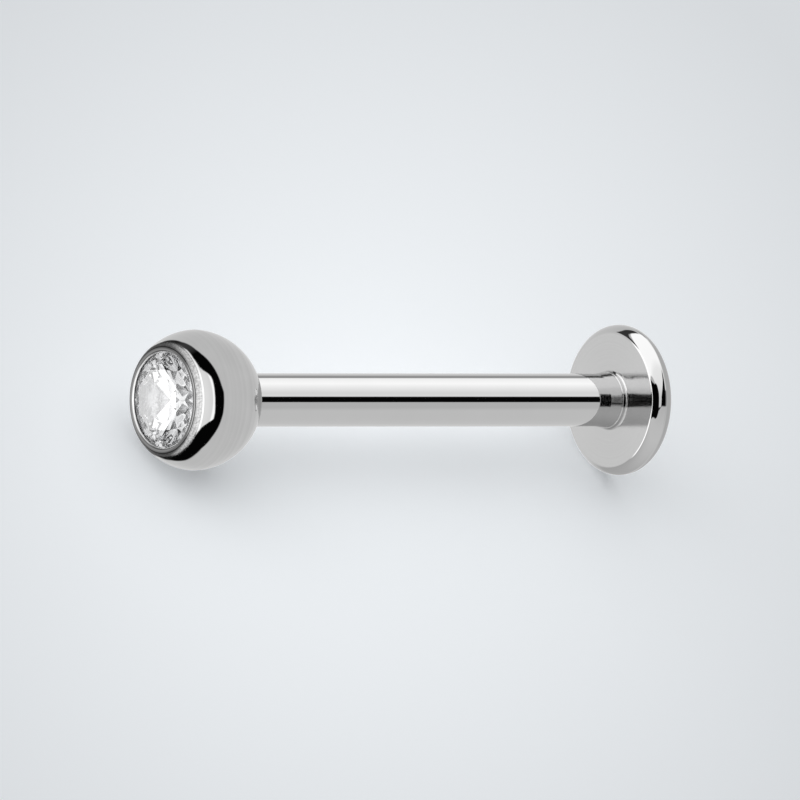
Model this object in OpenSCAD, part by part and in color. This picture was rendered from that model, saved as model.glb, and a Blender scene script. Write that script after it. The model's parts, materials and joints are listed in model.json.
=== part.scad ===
// Labret stud: a polished bar with a flat disc back, and a ball that holds a round cut stone.
// It lies on its side as it rests by itself, on the ball and on the rim of the disc.
// X runs from the stone to the disc, Z is up, and z = 0 is the surface that the stud lies on.
// All sizes are in millimetres.

/* [Bar] */
// Diameter of the bar
bar_d = 1.2; // [0.8:0.05:1.6]
// Length of the bar from the disc's face to the ball's full round
bar_length = 10.42; // [6:0.02:16]
// Diameter of the slightly thicker end of the bar at the disc
collar_d = 1.256; // [1.2:0.002:1.6]
// Length of that thicker end, with the cone that leads up to it
collar_length = 0.42; // [0.3:0.01:0.6]
// Length of that cone
collar_taper = 0.29; // [0.1:0.01:0.29]
// Diameter of the foot ring where the bar is soldered into the disc
foot_d = 1.3; // [1.26:0.01:1.8]
// Height of the foot ring above the disc's face
foot_height = 0.12; // [0.08:0.01:0.2]
// Radius of the solder fillet round the foot
foot_fillet = 0.04; // [0.02:0.005:0.08]

/* [Disc] */
// Diameter over the rounded rim
disc_d = 3.42; // [2.6:0.02:5]
// Thickness between the two flat faces
disc_thickness = 0.56; // [0.4:0.01:0.9]
// Width of the rounded rim outside the flat face
rim_width = 0.18; // [0.12:0.01:0.25]

/* [Ball] */
// Diameter of the ball
ball_d = 3.16; // [2.9:0.02:4]
// Depth that the ball is cut back from its full round to the crest of the lip
cut_depth = 0.75; // [0.7:0.01:0.9]
// How much smaller the radius of the ball's flatter front is than the ball's own
front_step = 0.081; // [0.07:0.001:0.09]
// Distance of the front arc's centre from the stud's axis
front_out = 0.084; // [0.07:0.002:0.1]
// Distance of the front arc's centre from the ball's middle, towards the disc
front_back = 0.154; // [0.13:0.002:0.17]
// Radius of the lip's inner edge
lip_edge = 0.06; // [0.02:0.005:0.07]
// How far the lip reaches in over the stone's girdle
lip_cover = 0.03; // [0.02:0.005:0.05]
// Depth of the stone's girdle below the crest of the lip
girdle_depth = 0.12; // [0.11:0.01:0.16]
// Depth that the bar's end is let into the ball
bar_seat_depth = 0.15; // [0.1:0.01:0.25]
// Diameter of the hidden pin that the ball is fastened on
pin_d = 0.9; // [0.6:0.05:1]
// Metal left between the pin's hole and the point of the stone's seat
pin_wall = 0.3; // [0.2:0.02:0.5]

/* [Stone] */
// Diameter of the stone at its girdle
stone_d = 2.2; // [1.9:0.02:2.3]
// Table's corner-to-corner size as a share of the girdle diameter
table_share = 0.664; // [0.58:0.01:0.7]
// Height of the table above the girdle
crown_height = 0.26; // [0.2:0.01:0.34]
// Place of the star facets' points, as a share of the girdle radius
star_share = 0.82; // [0.8:0.01:0.86]
// Thickness of the girdle
girdle_thickness = 0.03; // [0.02:0.005:0.05]
// Depth of the stone's point below the girdle
pavilion_depth = 0.94; // [0.84:0.02:1]
// Distance from the point to the lower girdle facets' meeting points, as a share of the girdle radius
lower_share = 0.25; // [0.2:0.01:0.35]
// Turn of the stone about the stud's axis, in degrees
stone_turn = 28; // [0:1:44]

/* [Fits] */
// Gap round the stone in its setting
stone_gap = 0.02; // [0.015:0.005:0.04]
// Gap round the pin and the bar's end in the ball
pin_gap = 0.01; // [0.01:0.005:0.03]

/* [Hidden] */
$fn = 96;

// Places along the stud's axis are counted from the ball's centre, towards the disc.
ball_r = ball_d / 2;
bar_r = bar_d / 2;
face_at = ball_r + bar_length;
rim_half = disc_thickness / 2;
rim_arc = (rim_width ^ 2 + rim_half ^ 2) / (2 * rim_width);
rim_centre_r = disc_d / 2 - rim_arc;
rim_centre_at = face_at + rim_half;
face_r = disc_d / 2 - rim_width;

// Heights on the stone's side are counted from the ball's centre, towards the stone's table.
stone_r = stone_d / 2;
wall_r = stone_r - lip_cover;
crest_r = wall_r + lip_edge;
crest_h = ball_r - cut_depth;
girdle_h = crest_h - girdle_depth;
table_h = girdle_h + crown_height;
culet_h = girdle_h - girdle_thickness - pavilion_depth;
table_r = stone_r * table_share;

// On the stone's side the ball is flatter: an arc about a centre off the axis takes the place of its round.
front_r = ball_r - front_step;
front_crest_r = crest_r - front_out;
front_crest_h = crest_h + front_back;

// The shoulder is the arc that touches the front arc from inside and is level at the lip's crest.
least_arc = 0.02;
touching_arc = (front_r ^ 2 - front_crest_r ^ 2 - front_crest_h ^ 2) / (2 * (front_r - front_crest_h));
shoulder_arc = max(least_arc, touching_arc);
shoulder_h = crest_h - shoulder_arc;
shoulder_angle = atan2(front_crest_r, shoulder_h + front_back);

// The pocket follows the stone's crown and pavilion cones, set off by the gap.
crown_angle = atan2(crown_height, stone_r - table_r);
pavilion_angle = atan2(pavilion_depth, stone_r);
pocket_r = stone_r + stone_gap;
pocket_tip_h = culet_h - stone_gap / cos(pavilion_angle);
pocket_low_h = pocket_tip_h + pocket_r * tan(pavilion_angle);
function roof_h(r) = girdle_h + stone_gap / cos(crown_angle) + (stone_r - r) * tan(crown_angle);

// The bar's end and its pin, and the blind hole that takes them.
seat_r = bar_r + pin_gap;
seat_mouth_at = sqrt(ball_r ^ 2 - seat_r ^ 2);
seat_floor_at = seat_mouth_at - bar_seat_depth;
hole_end_at = pin_wall - pocket_tip_h;

// The stud tips until the ball and the disc's rim both touch the surface.
rim_reach = norm([rim_centre_r, rim_centre_at]);
tip_angle = atan2(rim_centre_at, rim_centre_r) - acos((ball_r - rim_arc) / rim_reach);
end_x = (face_at + disc_thickness) * cos(tip_angle) + face_r * abs(sin(tip_angle));
stone_x = -table_h * cos(tip_angle) - table_r * abs(sin(tip_angle));

metal = [0.78, 0.78, 0.77];
crystal = [0.93, 0.95, 0.97];

// Lays the stud's axis, modelled along +Z from the ball's centre, down on the surface.
module laid_down() {
    translate([-(end_x + stone_x) / 2, 0, ball_r])
        rotate([0, 90 + tip_angle, 0])
            children();
}

// Half section of the disc: a slab whose edge is one arc through the edges of both flat faces.
module disc_section() {
    translate([0, face_at])
        square([rim_centre_r, disc_thickness]);
    intersection() {
        translate([rim_centre_r, rim_centre_at])
            circle(r = rim_arc);
        translate([rim_centre_r, face_at])
            square([disc_d, disc_thickness]);
    }
}

// Half section of the foot: a ring with a concave fillet down to the disc's face.
module foot_section() {
    foot_r = foot_d / 2;
    translate([0, face_at - foot_height])
        square([foot_r, foot_height]);
    difference() {
        translate([0, face_at - foot_fillet])
            square([foot_r + foot_fillet, foot_fillet]);
        translate([foot_r + foot_fillet, face_at - foot_fillet])
            circle(r = foot_fillet);
    }
}

// Bar, collar, foot and disc, turned as one piece, with the plain pin at the ball's end.
module post() {
    collar_r = collar_d / 2;
    collar_at = face_at - collar_length;
    shaft = [
        [0, hole_end_at + pin_gap],
        [pin_d / 2, hole_end_at + pin_gap],
        [pin_d / 2, seat_floor_at + pin_gap],
        [bar_r, seat_floor_at + pin_gap],
        [bar_r, collar_at],
        [collar_r, collar_at + collar_taper],
        [collar_r, face_at],
        [0, face_at]
    ];
    color(metal)
        laid_down()
            rotate_extrude()
                union() {
                    polygon(shaft);
                    foot_section();
                    disc_section();
                }
}

// Half section of what is cut off outside the shoulder, from the lip's crest to the ball's front.
module shoulder_cut() {
    difference() {
        polygon([
            [crest_r, -shoulder_h],
            [crest_r + ball_d * sin(shoulder_angle), -shoulder_h - ball_d * cos(shoulder_angle)],
            [crest_r + ball_d, -ball_d],
            [crest_r, -ball_d]
        ]);
        translate([crest_r, -shoulder_h])
            circle(r = shoulder_arc);
    }
}

// Half section of what is cut off above the lip, down to its rounded inner edge.
module lip_cut() {
    edge_h = crest_h - lip_edge;
    difference() {
        translate([0, -ball_d])
            square([crest_r, ball_d - edge_h]);
        translate([crest_r, -edge_h])
            circle(r = lip_edge);
    }
}

// Half section of the pocket that holds the stone.
module pocket_section() {
    polygon([
        [0, -pocket_tip_h],
        [pocket_r, -pocket_low_h],
        [pocket_r, -roof_h(pocket_r)],
        [wall_r, -roof_h(wall_r)],
        [wall_r, -crest_h],
        [0, -crest_h]
    ]);
}

// Half section of the blind hole for the bar's end and its pin.
module hole_section() {
    polygon([
        [0, hole_end_at],
        [pin_d / 2 + pin_gap, hole_end_at],
        [pin_d / 2 + pin_gap, seat_floor_at],
        [seat_r, seat_floor_at],
        [seat_r, ball_r],
        [0, ball_r]
    ]);
}

// The ball with its rounded lip, the pocket under the stone and the hole for the pin.
module ball() {
    color(metal)
        laid_down()
            rotate_extrude()
                difference() {
                    intersection() {
                        circle(r = ball_r);
                        translate([front_out, front_back])
                            circle(r = front_r);
                        translate([0, -ball_r])
                            square([ball_r, ball_d]);
                    }
                    shoulder_cut();
                    lip_cut();
                    pocket_section();
                    hole_section();
                }
}

// Ring of points at one height: count points at radius r, the first at the given angle.
function ring(count, r, h, first) =
    [for (i = [0 : count - 1]) [
        r * cos(first + i * 360 / count),
        r * sin(first + i * 360 / count),
        h
    ]];

// Brilliant cut: an eight-sided table, stars, kites and girdle facets above, mains and halves below.
module stone() {
    fold = 8;
    half_step = 180 / fold;
    low_h = girdle_h - girdle_thickness;
    star_r = stone_r * star_share;
    star_h = table_h - (star_r * cos(half_step) - table_r) * tan(crown_angle);
    lower_r = stone_r * lower_share;
    lower_h = culet_h + lower_r * cos(half_step) * tan(pavilion_angle);
    table = 0;
    star = table + fold;
    upper = star + fold;
    low = upper + 2 * fold;
    meet = low + 2 * fold;
    culet = meet + fold;
    points = concat(
        ring(fold, table_r, table_h, 0),
        ring(fold, star_r, star_h, half_step),
        ring(2 * fold, stone_r, girdle_h, 0),
        ring(2 * fold, stone_r, low_h, 0),
        ring(fold, lower_r, lower_h, half_step),
        [[0, 0, culet_h]]
    );
    faces = concat(
        [[for (k = [fold - 1 : -1 : 0]) table + k]],
        [for (k = [0 : fold - 1]) let (n = (k + 1) % fold)
            [table + k, table + n, star + k]],
        [for (k = [0 : fold - 1]) let (p = (k + fold - 1) % fold)
            [table + k, star + k, upper + 2 * k, star + p]],
        [for (k = [0 : fold - 1]) [star + k, upper + 2 * k + 1, upper + 2 * k]],
        [for (k = [0 : fold - 1]) let (n = (2 * k + 2) % (2 * fold))
            [star + k, upper + n, upper + 2 * k + 1]],
        [for (j = [0 : 2 * fold - 1]) let (n = (j + 1) % (2 * fold))
            [upper + j, upper + n, low + n, low + j]],
        [for (k = [0 : fold - 1]) [meet + k, low + 2 * k, low + 2 * k + 1]],
        [for (k = [0 : fold - 1]) let (n = (2 * k + 2) % (2 * fold))
            [meet + k, low + 2 * k + 1, low + n]],
        [for (k = [0 : fold - 1]) let (p = (k + fold - 1) % fold)
            [culet, meet + p, low + 2 * k, meet + k]]
    );
    color(crystal)
        laid_down()
            rotate([180, 0, stone_turn])
                polyhedron(points, faces);
}

post();
ball();
stone();
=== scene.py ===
import json

import bpy
import numpy as np
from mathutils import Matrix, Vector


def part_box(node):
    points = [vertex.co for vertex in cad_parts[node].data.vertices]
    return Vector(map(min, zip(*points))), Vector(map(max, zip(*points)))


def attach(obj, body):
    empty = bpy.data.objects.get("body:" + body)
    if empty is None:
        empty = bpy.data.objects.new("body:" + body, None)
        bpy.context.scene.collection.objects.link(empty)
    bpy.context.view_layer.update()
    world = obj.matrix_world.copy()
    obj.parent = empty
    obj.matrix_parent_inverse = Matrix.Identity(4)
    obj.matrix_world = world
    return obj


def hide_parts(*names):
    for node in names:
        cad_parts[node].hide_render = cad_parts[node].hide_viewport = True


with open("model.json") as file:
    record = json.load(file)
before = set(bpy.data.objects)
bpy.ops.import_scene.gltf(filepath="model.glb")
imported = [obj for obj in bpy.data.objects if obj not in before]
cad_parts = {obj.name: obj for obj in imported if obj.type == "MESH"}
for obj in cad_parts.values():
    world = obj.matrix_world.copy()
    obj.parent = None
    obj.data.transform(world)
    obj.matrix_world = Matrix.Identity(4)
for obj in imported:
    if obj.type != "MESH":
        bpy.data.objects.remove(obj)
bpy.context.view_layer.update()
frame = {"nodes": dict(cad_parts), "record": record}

# The post is one piece of surgical steel: a bar soldered into a flat disc, turned and mirror polished.
# The disc's face keeps the fine circles of the lathe, its rim is one full round and its edges are broken.
# A thicker collar and a foot ring with a thin solder fillet join the bar to the disc.
mm = 0.001
mounts = {mount["name"]: mount for mount in frame["record"]["mounts"]}
disc_back = np.array(mounts["disc_back"]["pos_m"])
bar_way = np.array(mounts["disc_back"]["axis"])
bar_way = bar_way / np.linalg.norm(bar_way)
bar_r = mounts["bar"]["dims"]["r_mm"] * mm
bar_length = 10.42 * mm
post_low, post_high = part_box("post")
disc_r = (post_high[1] - post_low[1]) / 2
disc_thickness = 0.56 * mm
rim_width = 0.18 * mm
disc_edge = 0.1 * mm
collar_r = 0.628 * mm
collar_length = 0.42 * mm
collar_taper = 0.29 * mm
foot_r = 0.65 * mm
foot_height = 0.12 * mm
foot_fillet = 0.04 * mm
foot_edge = 0.016 * mm
ball_r = 1.58 * mm
bar_seat_depth = 0.15 * mm
pin_r = 0.45 * mm
pin_end_at = 0.5963 * mm
pin_gap = 0.01 * mm
turn_steps = 400

# Places along the bar are counted from the ball's centre. Two ways are square to the bar: one leans
# towards the camera by the tilt of its view, and the other is upwards in its picture.
face_at = ball_r + bar_length
back_at = face_at + disc_thickness
ball_centre = disc_back - back_at * bar_way
view_tilt = np.radians(39.65)
near_way = np.array([0, -np.cos(view_tilt), np.sin(view_tilt)])
near_way = near_way - (near_way @ bar_way) * bar_way
near_way = near_way / np.linalg.norm(near_way)
high_way = np.cross(near_way, bar_way)


def straight(start, end, parts=1):
    """Line in the half section: start + share * (end - start), with share from 0 to 1 in equal parts."""
    share = np.linspace(0, 1, parts + 1)[:, None]
    return np.array(start) + share * (np.array(end) - np.array(start))


def arc(centre, radius, first, last, parts):
    """Arc in the half section: centre + radius * (cos a, sin a), with a from first to last in degrees."""
    angle = np.radians(np.linspace(first, last, parts + 1))
    return np.array(centre) + radius * np.stack([np.cos(angle), np.sin(angle)], axis=1)


def added(name, data):
    """New object in the scene, made from a mesh, a camera or a light."""
    thing = bpy.data.objects.new(name, data)
    bpy.context.scene.collection.objects.link(thing)
    return thing


def turned(name, origin, stretches, steps):
    """Surface of revolution: origin + s * bar_way + r * (cos t * near_way + sin t * high_way).
    The half section (s, r) runs through the stretches from one point on the axis to another, and t goes
    once round. A stretch is its points and its material's number. A normal is the section's tangent turned
    by a right angle, taken within its own stretch, so a corner stays crisp.
    """
    section = np.concatenate([points[:-1] for points, _ in stretches] + [stretches[-1][0][-1:]])
    first_normal, last_normal, finish = [], [], []
    for points, material in stretches:
        along = np.gradient(points, axis=0, edge_order=min(2, len(points) - 1))
        normal = np.stack([along[:, 1], -along[:, 0]], axis=1)
        normal = normal / np.linalg.norm(normal, axis=1)[:, None]
        first_normal.append(normal[:-1])
        last_normal.append(normal[1:])
        finish.append(np.full(len(points) - 1, material))
    finish = np.concatenate(finish)
    angle = np.arange(steps) * 2 * np.pi / steps
    out = np.cos(angle)[:, None] * near_way + np.sin(angle)[:, None] * high_way

    def swept(half):
        """Carries (s, r) pairs once round: s * bar_way + r * out."""
        return half[:, None, :1] * bar_way + half[:, None, 1:] * out

    ends = section[[0, -1], :1] * bar_way
    points = origin + np.concatenate([ends, swept(section[1:-1]).reshape(-1, 3)])

    # Points 0 and 1 are the ends on the axis. Quads join the rings, and two fans close the ends.
    ring_count = len(section) - 2
    grid = 2 + np.arange(ring_count * steps).reshape(ring_count, steps)
    after = np.roll(grid, -1, axis=1)
    quads = np.stack([grid[:-1], after[:-1], after[1:], grid[1:]], axis=2)
    first_cap = np.stack([np.zeros(steps, int), after[0], grid[0]], axis=1)
    last_cap = np.stack([np.ones(steps, int), grid[-1], after[-1]], axis=1)
    faces = first_cap.tolist() + quads.reshape(-1, 4).tolist() + last_cap.tolist()
    mesh = bpy.data.meshes.new(name)
    mesh.from_pydata(points.tolist(), [], faces)
    mesh.polygons.foreach_set("material_index", np.repeat(finish, steps))

    # Each corner of a face has its own normal, in the order of the face's points.
    start, end = swept(np.concatenate(first_normal)), swept(np.concatenate(last_normal))
    start_after, end_after = np.roll(start, -1, axis=1), np.roll(end, -1, axis=1)
    first_corners = np.stack([start[0], end_after[0], end[0]], axis=1)
    side_corners = np.stack([start, start_after, end_after, end], axis=2)[1:-1]
    last_corners = np.stack([end[-1], start[-1], start_after[-1]], axis=1)
    corners = [part.reshape(-1, 3) for part in (first_corners, side_corners, last_corners)]
    mesh.shade_smooth()
    mesh.normals_split_custom_set(np.concatenate(corners).tolist())
    return added(name, mesh)


def place(tree, kind, settings, *numbered, **named):
    """Adds a node with its settings. Its inputs, by number or by name, are constants or sockets to link."""
    node = tree.nodes.new(kind)
    for key, value in settings.items():
        setattr(node, key, value)
    inputs = [(node.inputs[number], value) for number, value in enumerate(numbered)]
    inputs += [(node.inputs[key.replace("_", " ")], value) for key, value in named.items()]
    for socket, value in inputs:
        if isinstance(value, bpy.types.NodeSocket):
            tree.links.new(value, socket)
        else:
            socket.default_value = value
    return node


def new_material(name, metallic=0):
    """New material: gives it, its node tree, its Principled shader and its Object coordinates."""
    material = bpy.data.materials.new(name)
    material.use_nodes = True
    tree = material.node_tree
    shader = tree.nodes["Principled BSDF"]
    shader.inputs["Metallic"].default_value = metallic
    return material, tree, shader, place(tree, "ShaderNodeTexCoord", {}).outputs["Object"]


def grey(level):
    """Neutral colour: one level three times."""
    return (level, level, level, 1)


def cloudy(tree, where, scale, detail):
    """Pattern of soft patches from 0 to 1, with scale patches per metre."""
    return place(tree, "ShaderNodeTexNoise", {}, Vector=where, Scale=scale, Detail=detail).outputs["Fac"]


def streaky(tree, value, scale, detail):
    """Pattern from 0 to 1 that changes with one value alone, scale times per metre of it."""
    settings = {"noise_dimensions": "1D"}
    return place(tree, "ShaderNodeTexNoise", settings, W=value, Scale=scale, Detail=detail).outputs["Fac"]


def tinted(tree, shader, pattern, low, high):
    """Colour: low + pattern * (high - low)."""
    colour = place(tree, "ShaderNodeMix", {"data_type": "RGBA"}, Factor=pattern, A=low, B=high)
    tree.links.new(colour.outputs["Result"], shader.inputs["Base Color"])


def glossed(tree, shader, pattern, smooth, coarse):
    """Roughness: smooth + pattern * (coarse - smooth)."""
    rough = place(tree, "ShaderNodeMapRange", {}, Value=pattern, To_Min=smooth, To_Max=coarse)
    tree.links.new(rough.outputs["Result"], shader.inputs["Roughness"])


def embossed(tree, shader, pattern, depth):
    """Relief: the surface leans as if it were raised by pattern * depth."""
    bump = place(tree, "ShaderNodeBump", {}, Height=pattern, Strength=1.0, Distance=depth)
    tree.links.new(bump.outputs["Normal"], shader.inputs["Normal"])


def polished_steel(name, low, high, smooth=0.01, coarse=0.04):
    """Mirror polish: the tone and the gloss drift slowly, and a faint swell bends the reflections."""
    material, tree, shader, where = new_material(name, metallic=1)
    tinted(tree, shader, cloudy(tree, where, scale=900.0, detail=4.0), low, high)
    glossed(tree, shader, cloudy(tree, where, scale=9000.0, detail=4.0), smooth, coarse)
    embossed(tree, shader, cloudy(tree, where, scale=1600.0, detail=1.0), depth=0.0006 * mm)
    return material


def lathe_circles(tree, where, scale, detail):
    """Fine circles round the axis: a streaky pattern over the distance from it, |bar_way x (p - centre)|.
    Gives the pattern, and the way outwards from the axis.
    """
    cross = {"operation": "CROSS_PRODUCT"}
    from_centre = place(tree, "ShaderNodeVectorMath", {"operation": "SUBTRACT"}, where, tuple(ball_centre))
    round_way = place(tree, "ShaderNodeVectorMath", cross, tuple(bar_way), from_centre.outputs["Vector"])
    radius = place(tree, "ShaderNodeVectorMath", {"operation": "LENGTH"}, round_way.outputs["Vector"])
    outward = place(tree, "ShaderNodeVectorMath", cross, round_way.outputs["Vector"], tuple(bar_way))
    unit = place(tree, "ShaderNodeVectorMath", {"operation": "NORMALIZE"}, outward.outputs["Vector"])
    return streaky(tree, radius.outputs["Value"], scale, detail), unit.outputs["Vector"]


def turned_steel():
    """Lathe finish: fine circles change the tone, gloss and slope, and the gloss stretches across them."""
    material, tree, shader, where = new_material("turned_steel", metallic=1)
    circles, outward = lathe_circles(tree, where, scale=42000.0, detail=1.0)
    tinted(tree, shader, circles, low=grey(0.57), high=grey(0.63))
    glossed(tree, shader, circles, smooth=0.11, coarse=0.19)
    embossed(tree, shader, circles, depth=0.00012 * mm)
    shader.inputs["Anisotropic"].default_value = 0.7
    tree.links.new(outward, shader.inputs["Tangent"])
    return material


# The rim is one arc, and a small round that touches it from inside breaks the edge of each face.
rim_half = disc_thickness / 2
rim_arc = (rim_width**2 + rim_half**2) / (2 * rim_width)
rim_at = face_at + rim_half
rim_r = disc_r - rim_arc
edge_r = rim_r + np.sqrt((rim_arc - disc_edge) ** 2 - (rim_half - disc_edge) ** 2)
edge_turn = np.degrees(np.arctan2(edge_r - rim_r, rim_half - disc_edge))

# The collar and the foot ring end at the disc. The bar's other end lies in the ball's seat, with a gap.
foot_at = face_at - foot_height
collar_at = face_at - collar_length
collar_full_at = collar_at + collar_taper
seat_r = bar_r + pin_gap
seat_floor_at = np.sqrt(ball_r**2 - seat_r**2) - bar_seat_depth
bar_end_at = seat_floor_at + pin_gap

# The post's half section runs from the middle of the disc's back to the middle of the pin's end. A row is a
# stretch: its points, with the number of its parts last, and its finish.
mirror, lathe = range(2)
post_stretches = [
    (straight((back_at, 0), (back_at, edge_r), 30), lathe),
    (arc((back_at - disc_edge, edge_r), disc_edge, 0, edge_turn, 6), mirror),
    (arc((rim_at, rim_r), rim_arc, edge_turn, 180 - edge_turn, 60), mirror),
    (arc((face_at + disc_edge, edge_r), disc_edge, 180 - edge_turn, 180, 6), mirror),
    (straight((face_at, edge_r), (face_at, foot_r + foot_fillet), 20), lathe),
    (arc((face_at - foot_fillet, foot_r + foot_fillet), foot_fillet, 0, -90, 10), mirror),
    (straight((face_at - foot_fillet, foot_r), (foot_at + foot_edge, foot_r)), mirror),
    (arc((foot_at + foot_edge, foot_r - foot_edge), foot_edge, 90, 180, 6), mirror),
    (straight((foot_at, foot_r - foot_edge), (foot_at, collar_r)), mirror),
    (straight((foot_at, collar_r), (collar_full_at, collar_r)), mirror),
    (straight((collar_full_at, collar_r), (collar_at, bar_r), 4), mirror),
    (straight((collar_at, bar_r), (bar_end_at, bar_r), 24), mirror),
    (straight((bar_end_at, bar_r), (bar_end_at, pin_r)), mirror),
    (straight((bar_end_at, pin_r), (pin_end_at, pin_r)), mirror),
    (straight((pin_end_at, pin_r), (pin_end_at, 0)), mirror),
]
post = turned("polished_post", ball_centre, post_stretches, turn_steps)
post.data.materials.append(polished_steel("polished_steel", grey(0.58), grey(0.615)))
post.data.materials.append(turned_steel())
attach(post, "root")
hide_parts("post")

# The ball is turned from the same steel and cut back on one side to a rounded lip, pressed over the stone.
# A satin ring round the lip lies between a band of painted shade, in place of a fine groove, and a thin
# line of painted highlight, and the rest is polished.
# A blind hole takes the bar's pin, and a cone lined with silver foil is the stone's seat.
cut_depth = 0.75 * mm
front_step = 0.081 * mm
front_out = 0.084 * mm
front_back = 0.154 * mm
lip_edge = 0.06 * mm
lip_cover = 0.03 * mm
mouth_edge = 0.05 * mm
pin_wall = 0.3 * mm
stone_r = 1.1 * mm
stone_gap = 0.02 * mm
girdle_depth = 0.12 * mm
table_share = 0.664
crown_height = 0.26 * mm
pavilion_depth = 0.94 * mm

# Turns that divide the finishes and the bands of painted highlight and painted shade, in degrees: on the
# shoulder's arc from the lip's crest, on the front's arc from the stone's side, and on the lip's inner edge
# from its crest at 180 to its inner wall at 270.
shade_band_from = 18.0
satin_from = 26.0
satin_to = 54.9
line_to = 56.4
highlight_from = 205.0
highlight_to = 248.0


def satin_steel():
    """Satin finish: sand plus a share of fine circles makes the tone glitter and blurs the reflections."""
    material, tree, shader, where = new_material("satin_steel", metallic=1)
    circle_share = 0.4
    circles, _ = lathe_circles(tree, where, scale=30000.0, detail=2.0)
    sand = cloudy(tree, where, scale=24000.0, detail=3.0)
    faint = place(tree, "ShaderNodeMath", {"operation": "MULTIPLY"}, circles, circle_share)
    pits = place(tree, "ShaderNodeMath", {"operation": "ADD"}, sand, faint.outputs["Value"])
    height = pits.outputs["Value"]
    share = place(tree, "ShaderNodeMapRange", {}, Value=height, From_Min=0.5, From_Max=0.9)
    tinted(tree, shader, share.outputs["Result"], low=grey(0.36), high=grey(0.72))
    glossed(tree, shader, sand, smooth=0.06, coarse=0.16)
    embossed(tree, shader, height, depth=0.0012 * mm)
    return material


def lathe_polish():
    """Polish over lathe marks: streaks along the axis draw faint circles, with slow patches over them."""
    material, tree, shader, where = new_material("lathe_polish", metallic=1)
    along = place(tree, "ShaderNodeVectorMath", {"operation": "DOT_PRODUCT"}, where, tuple(bar_way))
    marks = streaky(tree, along.outputs["Value"], scale=7000.0, detail=4.0)
    patches = cloudy(tree, where, scale=1100.0, detail=2.0)
    both = place(tree, "ShaderNodeMath", {"operation": "ADD"}, marks, patches)
    share = place(tree, "ShaderNodeMapRange", {}, Value=both.outputs["Value"], From_Min=0.6, From_Max=1.4)
    tinted(tree, shader, share.outputs["Result"], low=grey(0.555), high=grey(0.64))
    glossed(tree, shader, marks, smooth=0.015, coarse=0.045)
    return material


# Heights on the stone's side are counted from the ball's centre towards the stone. The shoulder is the arc
# that touches the flatter front from inside and is level at the lip's crest.
front_r = ball_r - front_step
lip_inner_r = stone_r - lip_cover
lip_crest_r = lip_inner_r + lip_edge
lip_crest_h = ball_r - cut_depth
lip_edge_h = lip_crest_h - lip_edge
front_crest_r = lip_crest_r - front_out
front_crest_h = lip_crest_h + front_back
shoulder_arc = (front_r**2 - front_crest_r**2 - front_crest_h**2) / (2 * (front_r - front_crest_h))
shoulder_h = lip_crest_h - shoulder_arc
shoulder_turn = np.degrees(np.arctan2(front_crest_r, shoulder_h + front_back))

# The crease is where the ball's round and the flatter front's arc cross.
front_centre = np.array([front_back, front_out])
front_far = np.linalg.norm(front_centre)
chord_far = (ball_r**2 - front_r**2 + front_far**2) / (2 * front_far)
chord_half = np.sqrt(ball_r**2 - chord_far**2)
crease = (chord_far * front_centre + chord_half * np.array([-front_out, front_back])) / front_far
ball_crease = np.degrees(np.arctan2(crease[1], crease[0]))
front_crease = 180 - np.degrees(np.arctan2(crease[1] - front_out, crease[0] - front_back))

# The hole takes the pin, and its mouth is rounded where the bar enters.
hole_r = pin_r + pin_gap
hole_end_at = pin_end_at - pin_gap
mouth_r = seat_r + mouth_edge
mouth_at = np.sqrt((ball_r - mouth_edge) ** 2 - mouth_r**2)
mouth_turn = np.degrees(np.arctan2(mouth_r, mouth_at))

# The pocket follows the cones of the stone's crown and pavilion, set off by the gap.
crown_slope = crown_height / (stone_r - stone_r * table_share)
pocket_r = stone_r + stone_gap
pocket_tip_at = hole_end_at - pin_wall
pocket_low_h = pocket_r * pavilion_depth / stone_r - pocket_tip_at


def roof_h(radius):
    """Height of the lip's underside: girdle + gap * sqrt(1 + slope^2) + slope * (stone_r - radius)."""
    girdle_h = lip_crest_h - girdle_depth
    return girdle_h + stone_gap * np.hypot(1, crown_slope) + crown_slope * (stone_r - radius)


def front_stretch(first, last, parts):
    """Stretch of the flatter front's arc, between two turns counted from the stone's side in degrees."""
    return arc(front_centre, front_r, 180 - first, 180 - last, parts)


def shoulder_stretch(first, last, parts):
    """Stretch of the shoulder's arc, between two turns counted from the lip's crest in degrees."""
    return arc((-shoulder_h, lip_crest_r), shoulder_arc, 180 - first, 180 - last, parts)


def lip_stretch(first, last, parts):
    """Stretch of the lip's inner edge, with turns from 180 degrees at its crest to 270 at its wall."""
    return arc((-lip_edge_h, lip_crest_r), lip_edge, first, last, parts)


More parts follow.
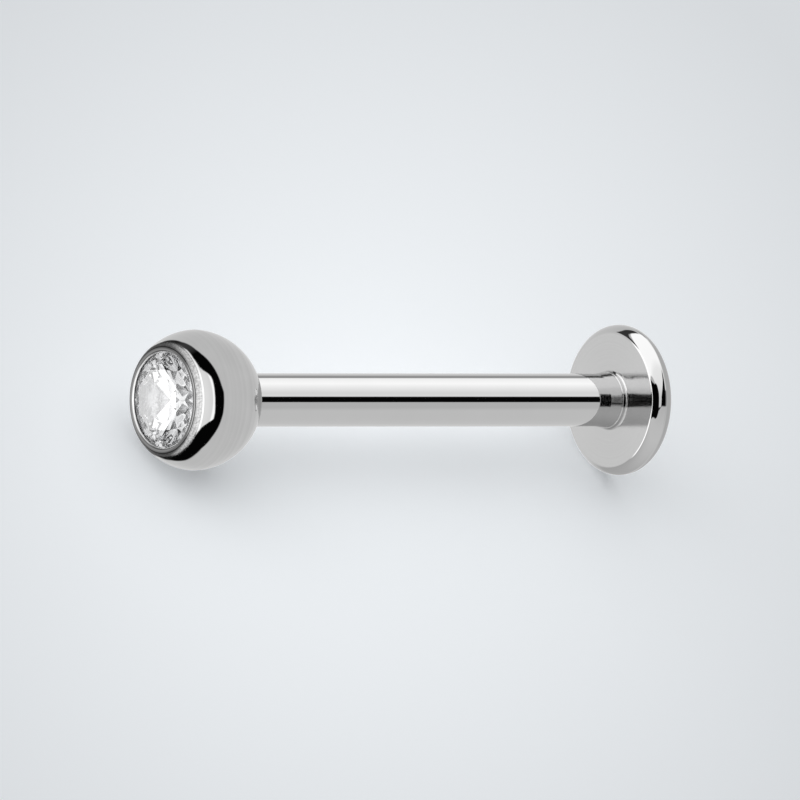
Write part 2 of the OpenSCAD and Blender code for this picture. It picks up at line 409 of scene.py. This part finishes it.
# The ball's half section runs from the middle of the hole's end to the tip of the stone's seat, in rows
# like the post's.
polish, satin, painted_highlight, painted_shade, foil = range(5)
ball_stretches = [
    (straight((hole_end_at, 0), (hole_end_at, hole_r)), polish),
    (straight((hole_end_at, hole_r), (seat_floor_at, hole_r)), polish),
    (straight((seat_floor_at, hole_r), (seat_floor_at, seat_r)), polish),
    (straight((seat_floor_at, seat_r), (mouth_at, seat_r)), polish),
    (arc((mouth_at, mouth_r), mouth_edge, -90, mouth_turn, 12), polish),
    (arc((0, 0), ball_r, mouth_turn, ball_crease, 80), polish),
    (front_stretch(front_crease, line_to, 40), polish),
    # A thin line of painted highlight, then the satin ring.
    (front_stretch(line_to, satin_to, 4), painted_highlight),
    (front_stretch(satin_to, shoulder_turn, 4), satin),
    (shoulder_stretch(shoulder_turn, satin_from, 16), satin),
    # A band of painted shade, in place of a fine groove, then the polished crest.
    (shoulder_stretch(satin_from, shade_band_from, 8), painted_shade),
    (shoulder_stretch(shade_band_from, 0, 10), polish),
    # The lip's inner edge: polished, then a painted highlight, then painted shade that runs on down its
    # wall.
    (lip_stretch(180, highlight_from, 4), polish),
    (lip_stretch(highlight_from, highlight_to, 8), painted_highlight),
    (lip_stretch(highlight_to, 270, 4), painted_shade),
    (straight((-lip_edge_h, lip_inner_r), (-roof_h(lip_inner_r), lip_inner_r)), painted_shade),
    (straight((-roof_h(lip_inner_r), lip_inner_r), (-roof_h(pocket_r), pocket_r)), foil),
    (straight((-roof_h(pocket_r), pocket_r), (-pocket_low_h, pocket_r)), foil),
    (straight((-pocket_low_h, pocket_r), (pocket_tip_at, 0), 12), foil),
]
ball = turned("stone_ball", ball_centre, ball_stretches, turn_steps)
ball.data.materials.append(lathe_polish())
ball.data.materials.append(satin_steel())
# Painted highlight: steel far brighter than the rest, for the thin bright lines.
ball.data.materials.append(polished_steel("painted_highlight_steel", grey(0.84), grey(0.9)))
# Painted shade: near black steel, for the dark band by the satin ring and for the lip's inner edge and
# wall.
ball.data.materials.append(polished_steel("painted_shade_steel", grey(0.08), grey(0.18)))
ball.data.materials.append(polished_steel("silver_foil", grey(0.88), grey(0.92), smooth=0.25, coarse=0.4))
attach(ball, "root")
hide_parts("ball")

# The stone is a clear colourless crystal in a brilliant cut, with an octagonal table.
# It sits under the lip with its point in the cone, and its facets are flat and sharp.
stone = frame["nodes"]["stone"]
stone_ior = 2.15
faint_blue = (0.97, 0.98, 1.0, 1)


def clear_crystal():
    """Clear crystal: refracting glass whose tint and polish drift a little through the stone."""
    material, tree, shader, where = new_material("clear_crystal")
    haze = cloudy(tree, where, scale=1800.0, detail=2.0)
    tinted(tree, shader, haze, low=faint_blue, high=grey(1))
    glossed(tree, shader, haze, smooth=0.0, coarse=0.02)
    shader.inputs["Transmission Weight"].default_value = 1
    shader.inputs["IOR"].default_value = stone_ior
    return material


stone.data.materials.clear()
stone.data.materials.append(clear_crystal())

# The camera looks at the stud from the stone's side and from above, with a long lens, as in the photograph.
# The picture's middle is a point on the bar's axis, between the ball and the disc.
view_turn = np.radians(51.6)
aim_at = 5.955 * mm
picture_width = 18.01 * mm
lens_length = 1300
film_width = 36
clip_near = 0.01
clip_far = 5


def pose_of(right, up, back, spot):
    """Pose: the matrix whose columns are an object's right, up and back ways and its place."""
    pose = np.eye(4)
    pose[:3] = np.stack([right, up, back, spot], axis=1)
    return pose.T.tolist()


to_camera = -np.cos(view_turn) * bar_way + np.sin(view_turn) * near_way
picture_right = np.sin(view_turn) * bar_way + np.cos(view_turn) * near_way
camera_spot = ball_centre + aim_at * bar_way + picture_width * lens_length / film_width * to_camera
camera = added("camera", bpy.data.cameras.new("camera"))
camera.data.lens = lens_length
camera.data.sensor_width = film_width
camera.data.clip_start = clip_near
camera.data.clip_end = clip_far
camera.matrix_world = pose_of(picture_right, high_way, to_camera, camera_spot)
bpy.context.scene.camera = camera
bpy.context.scene.view_settings.view_transform = "Standard"

# Light turns many times inside the stone before it comes out, so it may bounce often.
paths = bpy.context.scene.cycles
paths.max_bounces = 32
paths.glossy_bounces = 24
paths.transmission_bounces = 32

# The floor is a pale matt sheet, with a pool of light painted round the stud. Part of its tone glows
# evenly, and one soft sun from above the stone's side lights the rest. The sky only shows past the sheet's
# edge, and the stud mirrors none of them.
floor_r = 400 * mm
floor_rings = 60
floor_steps = 120
painted_pool_fade = 13 * mm
painted_pool_middle = (0.897, 0.93, 0.96, 1)
floor_far = (0.675, 0.70, 0.723, 1)
floor_glow = 0.28
painted_pool_spot = (0.0, 0.7 * mm, 0.0)
sun_way = np.array([-0.35, 0.35, 1])
sun_spread = np.radians(118)


def floor_sheet():
    """Flat disc: (r cos t, r sin t, 0), with r = floor_r * share^2, so its rings are finest at the stud."""
    radius = floor_r * np.linspace(0, 1, floor_rings + 1)[1:, None] ** 2
    angle = np.arange(floor_steps) * 2 * np.pi / floor_steps
    level = np.zeros((floor_rings, floor_steps))
    ring = np.stack([radius * np.cos(angle), radius * np.sin(angle), level], axis=2)
    points = np.concatenate([np.zeros((1, 3)), ring.reshape(-1, 3)])
    grid = 1 + np.arange(floor_rings * floor_steps).reshape(floor_rings, floor_steps)
    after = np.roll(grid, -1, axis=1)
    quads = np.stack([grid[:-1], grid[1:], after[1:], after[:-1]], axis=2).reshape(-1, 4)
    fans = np.stack([np.zeros(floor_steps, int), grid[0], after[0]], axis=1)
    mesh = bpy.data.meshes.new("floor")
    mesh.from_pydata(points.tolist(), [], quads.tolist() + fans.tolist())
    return added("floor", mesh)


def lit_floor():
    """Pale sheet with a painted pool of light: its tone falls with the distance from the stud, as the
    picture shows that distance.
    A share of the tone glows evenly and the rest is matt, so that the sun's shadow on it stays light.
    """
    material, tree, shader, where = new_material("lit_floor")
    dot = {"operation": "DOT_PRODUCT"}
    across = place(tree, "ShaderNodeVectorMath", dot, where, tuple(picture_right))
    upward = place(tree, "ShaderNodeVectorMath", dot, where, tuple(high_way))
    spot = place(tree, "ShaderNodeCombineXYZ", {}, across.outputs["Value"], upward.outputs["Value"])
    less = {"operation": "SUBTRACT"}
    moved = place(tree, "ShaderNodeVectorMath", less, spot.outputs["Vector"], painted_pool_spot)
    length = place(tree, "ShaderNodeVectorMath", {"operation": "LENGTH"}, moved.outputs["Vector"])
    away = length.outputs["Value"]
    # Painted pool of light: the floor's tone is brightest at the spot by the stud and falls away over the
    # fade.
    share = place(tree, "ShaderNodeMapRange", {}, Value=away, From_Min=0.0, From_Max=painted_pool_fade)
    ramp = place(tree, "ShaderNodeValToRGB", {}, Fac=share.outputs["Result"])
    ramp.color_ramp.elements[0].color = painted_pool_middle
    ramp.color_ramp.elements[1].color = floor_far
    shader.inputs["Roughness"].default_value = 1
    shader.inputs["Specular IOR Level"].default_value = 0
    shader.inputs["Emission Strength"].default_value = floor_glow
    tree.links.new(ramp.outputs["Color"], shader.inputs["Base Color"])
    tree.links.new(ramp.outputs["Color"], shader.inputs["Emission Color"])
    return material


floor = floor_sheet()
floor.data.materials.append(lit_floor())
floor.visible_glossy = False
floor.visible_transmission = False

sun_back = sun_way / np.linalg.norm(sun_way)
sun_right = np.cross([0, 1, 0], sun_back)
sun_right = sun_right / np.linalg.norm(sun_right)
sun = added("soft_sun", bpy.data.lights.new("soft_sun", "SUN"))
sun.data.energy = np.pi * (1 - floor_glow) / sun_back[2]
sun.data.angle = sun_spread
sun.matrix_world = pose_of(sun_right, np.cross(sun_back, sun_right), sun_back, np.zeros(3))
sun.visible_glossy = False
sun.visible_transmission = False

sky = bpy.data.worlds.new("pale_sky")
bpy.context.scene.world = sky
sky.use_nodes = True
sky.node_tree.nodes["Background"].inputs["Color"].default_value = floor_far
sky.cycles_visibility.diffuse = False
sky.cycles_visibility.glossy = False
sky.cycles_visibility.transmission = False

# Three light tents stand round the stud, seen by nothing but its reflections: one by the ball, one by the
# stone and one by the post. Each is a sphere of white cloth with its own lit windows and dark gaps.
# Places on a tent are the polar angle from the stone's end of the axis and the turn from the camera's side.
ball_reach = 250 * mm
stone_reach = 260 * mm
post_reach = 270 * mm
post_tent_at = 6.0 * mm
tent_polar = np.arange(0, 181, 1.0)
tent_turn = np.arange(0, 360, 1.0)
polar, turn = np.meshgrid(tent_polar, (tent_turn + 180) % 360 - 180, indexing="ij")


def step(value, edge, soft):
    """Smooth step: 3 q^2 - 2 q^3, with q rising from 0 to 1 over a width of soft round the edge."""
    q = np.clip((value - edge) / soft + 0.5, 0, 1)
    return q * q * (3 - 2 * q)


def band(value, low, high, soft):
    """Smooth band: 1 between low and high, 0 outside."""
    return step(value, low, soft) * (1 - step(value, high, soft))


def painted(glow, patch, level):
    """Lays a patch over a glow: glow * (1 - patch) + patch * level."""
    return glow * (1 - patch) + patch * level


def outline(value, *places):
    """Line through a few (place, value) pairs: straight from one to the next."""
    at, level = np.array(places).T
    return np.interp(value, at, level)


def tent(name, centre, reach, glow, seen_by):
    """Sphere round the bar's way: (-cos a, sin a) * reach swept once round, with the polar angle a.
    Its emission reads an attribute, the glow at each grid point, and only one piece sees it.
    """
    angle = np.radians(tent_polar)
    section = reach * np.stack([-np.cos(angle), np.sin(angle)], axis=1)
    shell = turned(name, centre, [(section, 0)], len(tent_turn))
    values = np.concatenate([glow[0, :1], glow[-1, :1], glow[1:-1].reshape(-1)])
    shell.data.attributes.new("glow", "FLOAT", "POINT").data.foreach_set("value", values)
    material = bpy.data.materials.new(name)
    material.use_nodes = True
    material.cycles.emission_sampling = "NONE"
    tree = material.node_tree
    tree.nodes.remove(tree.nodes["Principled BSDF"])
    cloth = place(tree, "ShaderNodeAttribute", {"attribute_name": "glow"})
    lit = place(tree, "ShaderNodeEmission", {}, Strength=cloth.outputs["Fac"])
    clear = place(tree, "ShaderNodeBsdfTransparent", {})
    both = place(tree, "ShaderNodeAddShader", {}, lit.outputs["Emission"], clear.outputs["BSDF"])
    tree.links.new(both.outputs["Shader"], tree.nodes["Material Output"].inputs["Surface"])
    shell.data.materials.append(material)
    shell.visible_camera = False
    shell.visible_diffuse = False
    shell.visible_shadow = False
    shell.visible_volume_scatter = False
    seen = bpy.data.collections.new(name + "_for")
    seen.objects.link(seen_by)
    shell.light_linking.receiver_collection = seen


# The ball mirrors three zones of its tent: the lit one round the stone's end of the axis, the dark gap
# outside it, and plain cloth. Both edges of the gap are polar angles that change with the turn.
ball_cloth = 0.78
gap_level = 0.002
gap_inner = outline(
    turn,
    (-180, 118), (-160, 106), (-146, 98), (-134, 92), (-126, 88), (-120, 86), (-110, 80.5), (-100, 76),
    (-85, 72), (-70, 67.5), (-60, 66.8), (-50, 67.8), (-45, 69.8), (-37, 75), (-33, 79), (-30, 81),
    (-20, 80.8), (-5, 79.5), (10, 79.3), (32, 80), (38, 79.3), (45, 76.3), (52, 72), (60, 69.8),
    (70, 71), (80, 73), (90, 76.8), (100, 80.5), (110, 83), (120, 88), (140, 97), (160, 106), (180, 118),
)
gap_outer = outline(
    turn,
    (-180, 128.5), (-160, 112), (-140, 102.5), (-120, 99.3), (-100, 93.8), (-84, 90.5), (-60, 91.3),
    (-40, 94), (-20, 95.8), (12, 95.8), (22, 93.5), (40, 91.5), (60, 89.3), (80, 87.3), (92, 87.8),
    (105, 90.5), (120, 93.8), (140, 102), (160, 111), (170, 118.8), (180, 128.5),
)
gap_shade = outline(
    turn,
    (-180, 0.05), (-150, 0.02), (-132, gap_level), (86, gap_level), (98, 0.05), (112, 0.06), (125, 0.02),
    (180, 0.05),
)
inner_light = outline(
    turn,
    (-180, 0.45), (-168, 0.35), (-155, 0.14), (-132, 0.13), (-122, 0.5), (-105, 0.85), (-85, 0.95),
    (-60, 1.1), (0, 1.3), (60, 1.05), (85, 0.9), (105, 0.75), (118, 0.45), (130, 0.2), (145, 0.13),
    (158, 0.14), (170, 0.33), (180, 0.45),
)
crest_patch = step(np.abs(turn), edge=110, soft=20) * (1 - step(polar, edge=49, soft=3))
crest_light = painted(0.9, step(polar, edge=33, soft=6), level=0.25)
window_patch = step(polar, edge=56, soft=2) * band(turn, low=-52, high=52, soft=6)
window_light = outline(polar, (56, 1.3), (66, 1.18), (75, 1.08), (77, 1.6), (82, 1.6))
inner_light = painted(inner_light, crest_patch, crest_light)
inner_light = painted(inner_light, window_patch, window_light)
ball_glow = painted(ball_cloth, 1 - step(polar, gap_inner, soft=2), inner_light)
ball_glow = painted(ball_glow, band(polar, gap_inner, gap_outer, soft=1.5), gap_shade)
tent("ball_tent", ball_centre, ball_reach, ball_glow, seen_by=ball)

# The stone sees folds in the cloth, one tiny bright patch that its flat table mirrors, and a dark gap.
stone_cloth = 0.86
fold_depth = 0.24
stone_folds = np.cos(np.radians(4 * turn + 30)) * np.sin(np.radians(3 * polar))
table_patch = band(polar, low=48, high=55, soft=2) * step(np.abs(turn), edge=175, soft=2)
dark_patch = band(polar, low=57, high=74, soft=2) * band(np.abs(turn), low=18, high=140, soft=4)
stone_glow = stone_cloth + fold_depth * stone_folds
stone_glow = painted(stone_glow, table_patch, level=3.0)
stone_glow = painted(stone_glow, dark_patch, level=0.02)
tent("stone_tent", ball_centre, stone_reach, stone_glow, seen_by=stone)

# The post mirrors a window above the camera's side, a dark hook behind that, and a dark notch and slit at
# the camera's side. Each reaches from its low to its high turn, which change with the polar angle.
post_cloth = outline(
    turn,
    (-180, 0.90), (-165, 0.85), (-150, 0.55), (-120, 0.62), (-90, 0.75), (-60, 0.83), (-40, 0.82),
    (-15, 0.74), (0, 0.68), (110, 0.68), (130, 0.74), (165, 0.84), (180, 0.90),
)
post_glow = painted(post_cloth, step(polar, edge=140, soft=20), level=0.62)
window_low = outline(polar, (14, 80), (60, 0), (66, -12), (84, -12), (118, 15), (142, 15))
window_patch = band(polar, low=13, high=126, soft=6) * band(turn, window_low, high=112, soft=3)
window_light = outline(turn, (-11, 0.9), (5, 0.95), (20, 1.2), (45, 1.3), (60, 1.55), (108, 1.6))
post_glow = painted(post_glow, window_patch, window_light)
hook_low = outline(polar, (36, 100), (45, 110), (60, 118), (72, 116), (82, 112), (95, 109), (118, 109))
hook_high = outline(
    polar,
    (36, 104), (45, 125), (58, 135), (68, 138), (72, 132), (80, 126), (90, 123), (100, 120), (118, 116),
)
hook_patch = band(polar, low=38, high=114, soft=8) * band(turn, hook_low, hook_high, soft=3)
post_glow = painted(post_glow, hook_patch, level=0.05)
notch_low = outline(
    polar,
    (10, -80), (14, -76), (18, -60), (21, -50), (26.5, -40), (36, -34), (46, -32), (58, -27), (68, -15),
)
notch_high = outline(
    polar,
    (9, 112), (13, 102), (16, 80), (19, 60), (22, 50), (27, 40), (37, 30), (50, 27), (58, 22), (66, 9),
)
notch_patch = band(polar, low=8, high=65, soft=2) * band(turn, notch_low, notch_high, soft=2)
slit_low = outline(polar, (65, -16), (76, -12.5), (86, -9.5), (95, -8.5), (128, -9.5))
slit_high = outline(
    polar,
    (65, -11), (84, -9.5), (87, 5), (92, 10), (98, 15), (106, 22), (112, 28), (118, 38), (124, 46),
)
slit_patch = band(polar, low=64, high=124, soft=4) * band(turn, slit_low, slit_high, soft=2)
post_glow = painted(post_glow, np.maximum(notch_patch, slit_patch), gap_level)

# A bright cap closes the tent at the stone's end, and reaches further down behind the stud.
behind = step(turn, edge=104, soft=8) + 1 - step(turn, edge=-130, soft=20)
cap_patch = (1 - step(polar, edge=8.5, soft=2)) + (1 - step(polar, edge=42, soft=6)) * behind
post_glow = painted(post_glow, np.clip(cap_patch, 0, 1), level=1.8)

# The bar is straight, so it mirrors one narrow ring of the tent alone, and that ring has its own levels.
bar_light = outline(turn, (14, 0.7), (17, 1.15), (30, 1.08), (50, 1.29), (75, 1.57), (108, 1.38))
bar_glow = painted(0.7, step(np.abs(turn), edge=40, soft=20), level=0.82)
bar_glow = painted(bar_glow, band(turn, low=14.5, high=109.5, soft=1.5), bar_light)
bar_glow = painted(bar_glow, band(turn, low=109.5, high=132, soft=2), level=0.45)
bar_glow = painted(bar_glow, band(turn, low=-9.5, high=14, soft=1.5), gap_level)
post_glow = painted(post_glow, band(polar, low=125.5, high=131.5, soft=1.5), bar_glow)
tent("post_tent", ball_centre + post_tent_at * bar_way, post_reach, post_glow, seen_by=post)
